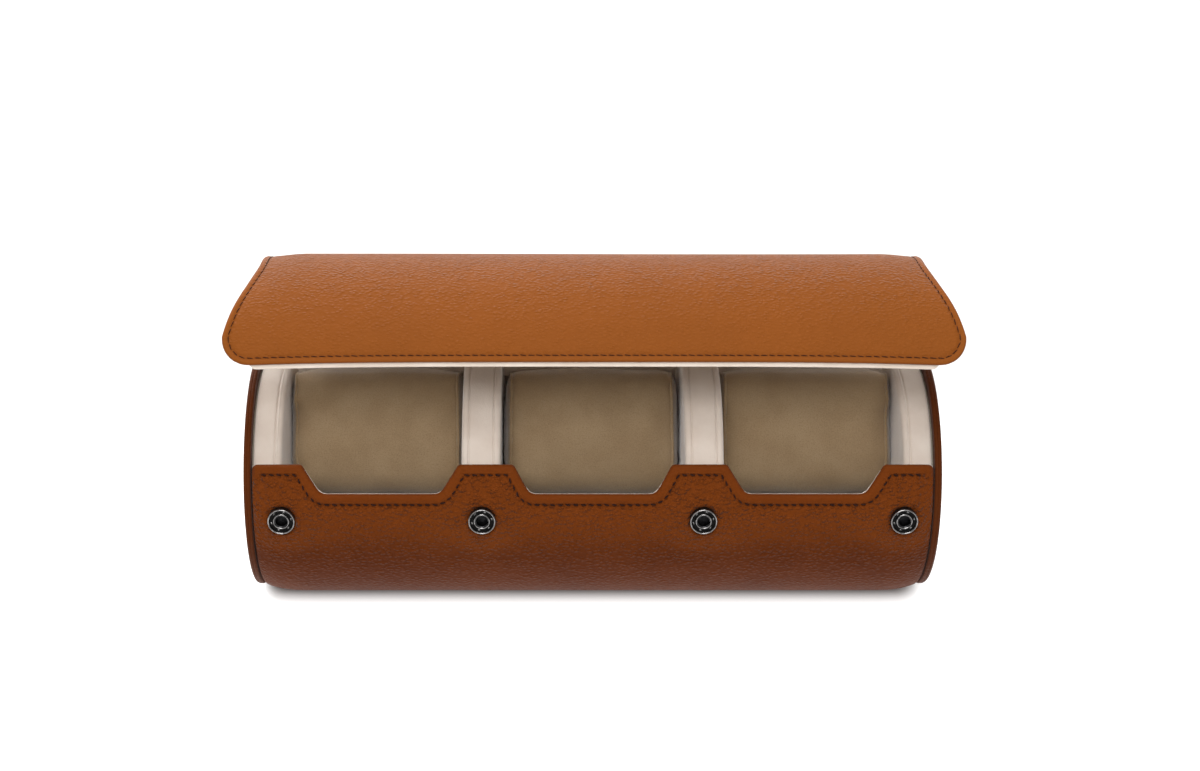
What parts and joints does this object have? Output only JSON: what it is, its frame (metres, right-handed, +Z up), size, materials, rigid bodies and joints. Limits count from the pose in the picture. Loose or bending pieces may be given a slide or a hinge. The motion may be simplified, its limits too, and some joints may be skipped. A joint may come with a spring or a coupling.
{
  "type": "watch travel case",
  "caption": "Round leather travel case for watches with a snapped hinged lid, padded dividers and lift-out cushions.",
  "frame": {"origin": "middle of the flat base, on the surface that the case stands on", "axes": "+X along the roll to the right end, +Y to the hinge at the back, +Z up"},
  "size_m": [0.2604, 0.0989, 0.1318],
  "materials": {
    "tan_leather": "pebbled, semi-matt",
    "cream_suede": "suede",
    "beige_suede": "suede",
    "board": "matt",
    "foam": "matt",
    "gunmetal": "polished, dark plated",
    "spring_steel": "bright"
  },
  "bodies": {
    "case": {"shell_leather": "tan_leather", "shell_board": "board", "shell_lining": "cream_suede", "left_cap_leather": "tan_leather", "left_cap_board": "board", "left_pad_foam": "foam", "left_pad_suede": "cream_suede", "left_pad_strip": "cream_suede", "right_cap_leather": "tan_leather", "right_cap_board": "board", "right_pad_foam": "foam", "right_pad_suede": "cream_suede", "right_pad_strip": "cream_suede", "left_divider_board": "board", "left_divider_foam": "foam", "left_divider_suede": "cream_suede", "left_divider_strip": "cream_suede", "right_divider_board": "board", "right_divider_foam": "foam", "right_divider_suede": "cream_suede", "right_divider_strip": "cream_suede", "hinge_leather": "tan_leather", "hinge_lining": "cream_suede", "snap_sockets": "gunmetal", "snap_springs": "spring_steel", "socket_posts": "gunmetal"},
    "lid": {"lid_leather": "tan_leather", "lid_board": "board", "lid_lining": "cream_suede", "fold_leather": "tan_leather", "fold_lining": "cream_suede"},
    "flap": {"flap_leather": "tan_leather", "flap_lining": "cream_suede", "snap_studs": "gunmetal", "stud_posts": "gunmetal"},
    "left_cushion": {"left_cushion_foam": "foam", "left_cushion_cover": "beige_suede"},
    "middle_cushion": {"middle_cushion_foam": "foam", "middle_cushion_cover": "beige_suede"},
    "right_cushion": {"right_cushion_foam": "foam", "right_cushion_cover": "beige_suede"}
  },
  "joints": [
    {"name": "lid_hinge", "type": "hinge", "parent": "case", "child": "lid", "pos_m": [0, 0.04539, 0.06053], "axis": [-1, 0, 0], "range_deg": [-45.5, 110], "deforming": ["hinge_leather", "hinge_lining"]},
    {"name": "flap_fold", "type": "hinge", "parent": "lid", "child": "flap", "pos_m": [0, -0.00534, 0.13031], "axis": [-1, 0, 0], "range_deg": [0, 25], "stiffness_Nm_per_rad": 0.3, "deforming": ["fold_leather", "fold_lining"]},
    {"name": "left_cushion_lift", "type": "slide", "parent": "case", "child": "left_cushion", "axis": [0, -0.766, 0.6428], "range_m": [0, 0.09]},
    {"name": "middle_cushion_lift", "type": "slide", "parent": "case", "child": "middle_cushion", "axis": [0, -0.766, 0.6428], "range_m": [0, 0.09]},
    {"name": "right_cushion_lift", "type": "slide", "parent": "case", "child": "right_cushion", "axis": [0, -0.766, 0.6428], "range_m": [0, 0.09]}
  ]
}
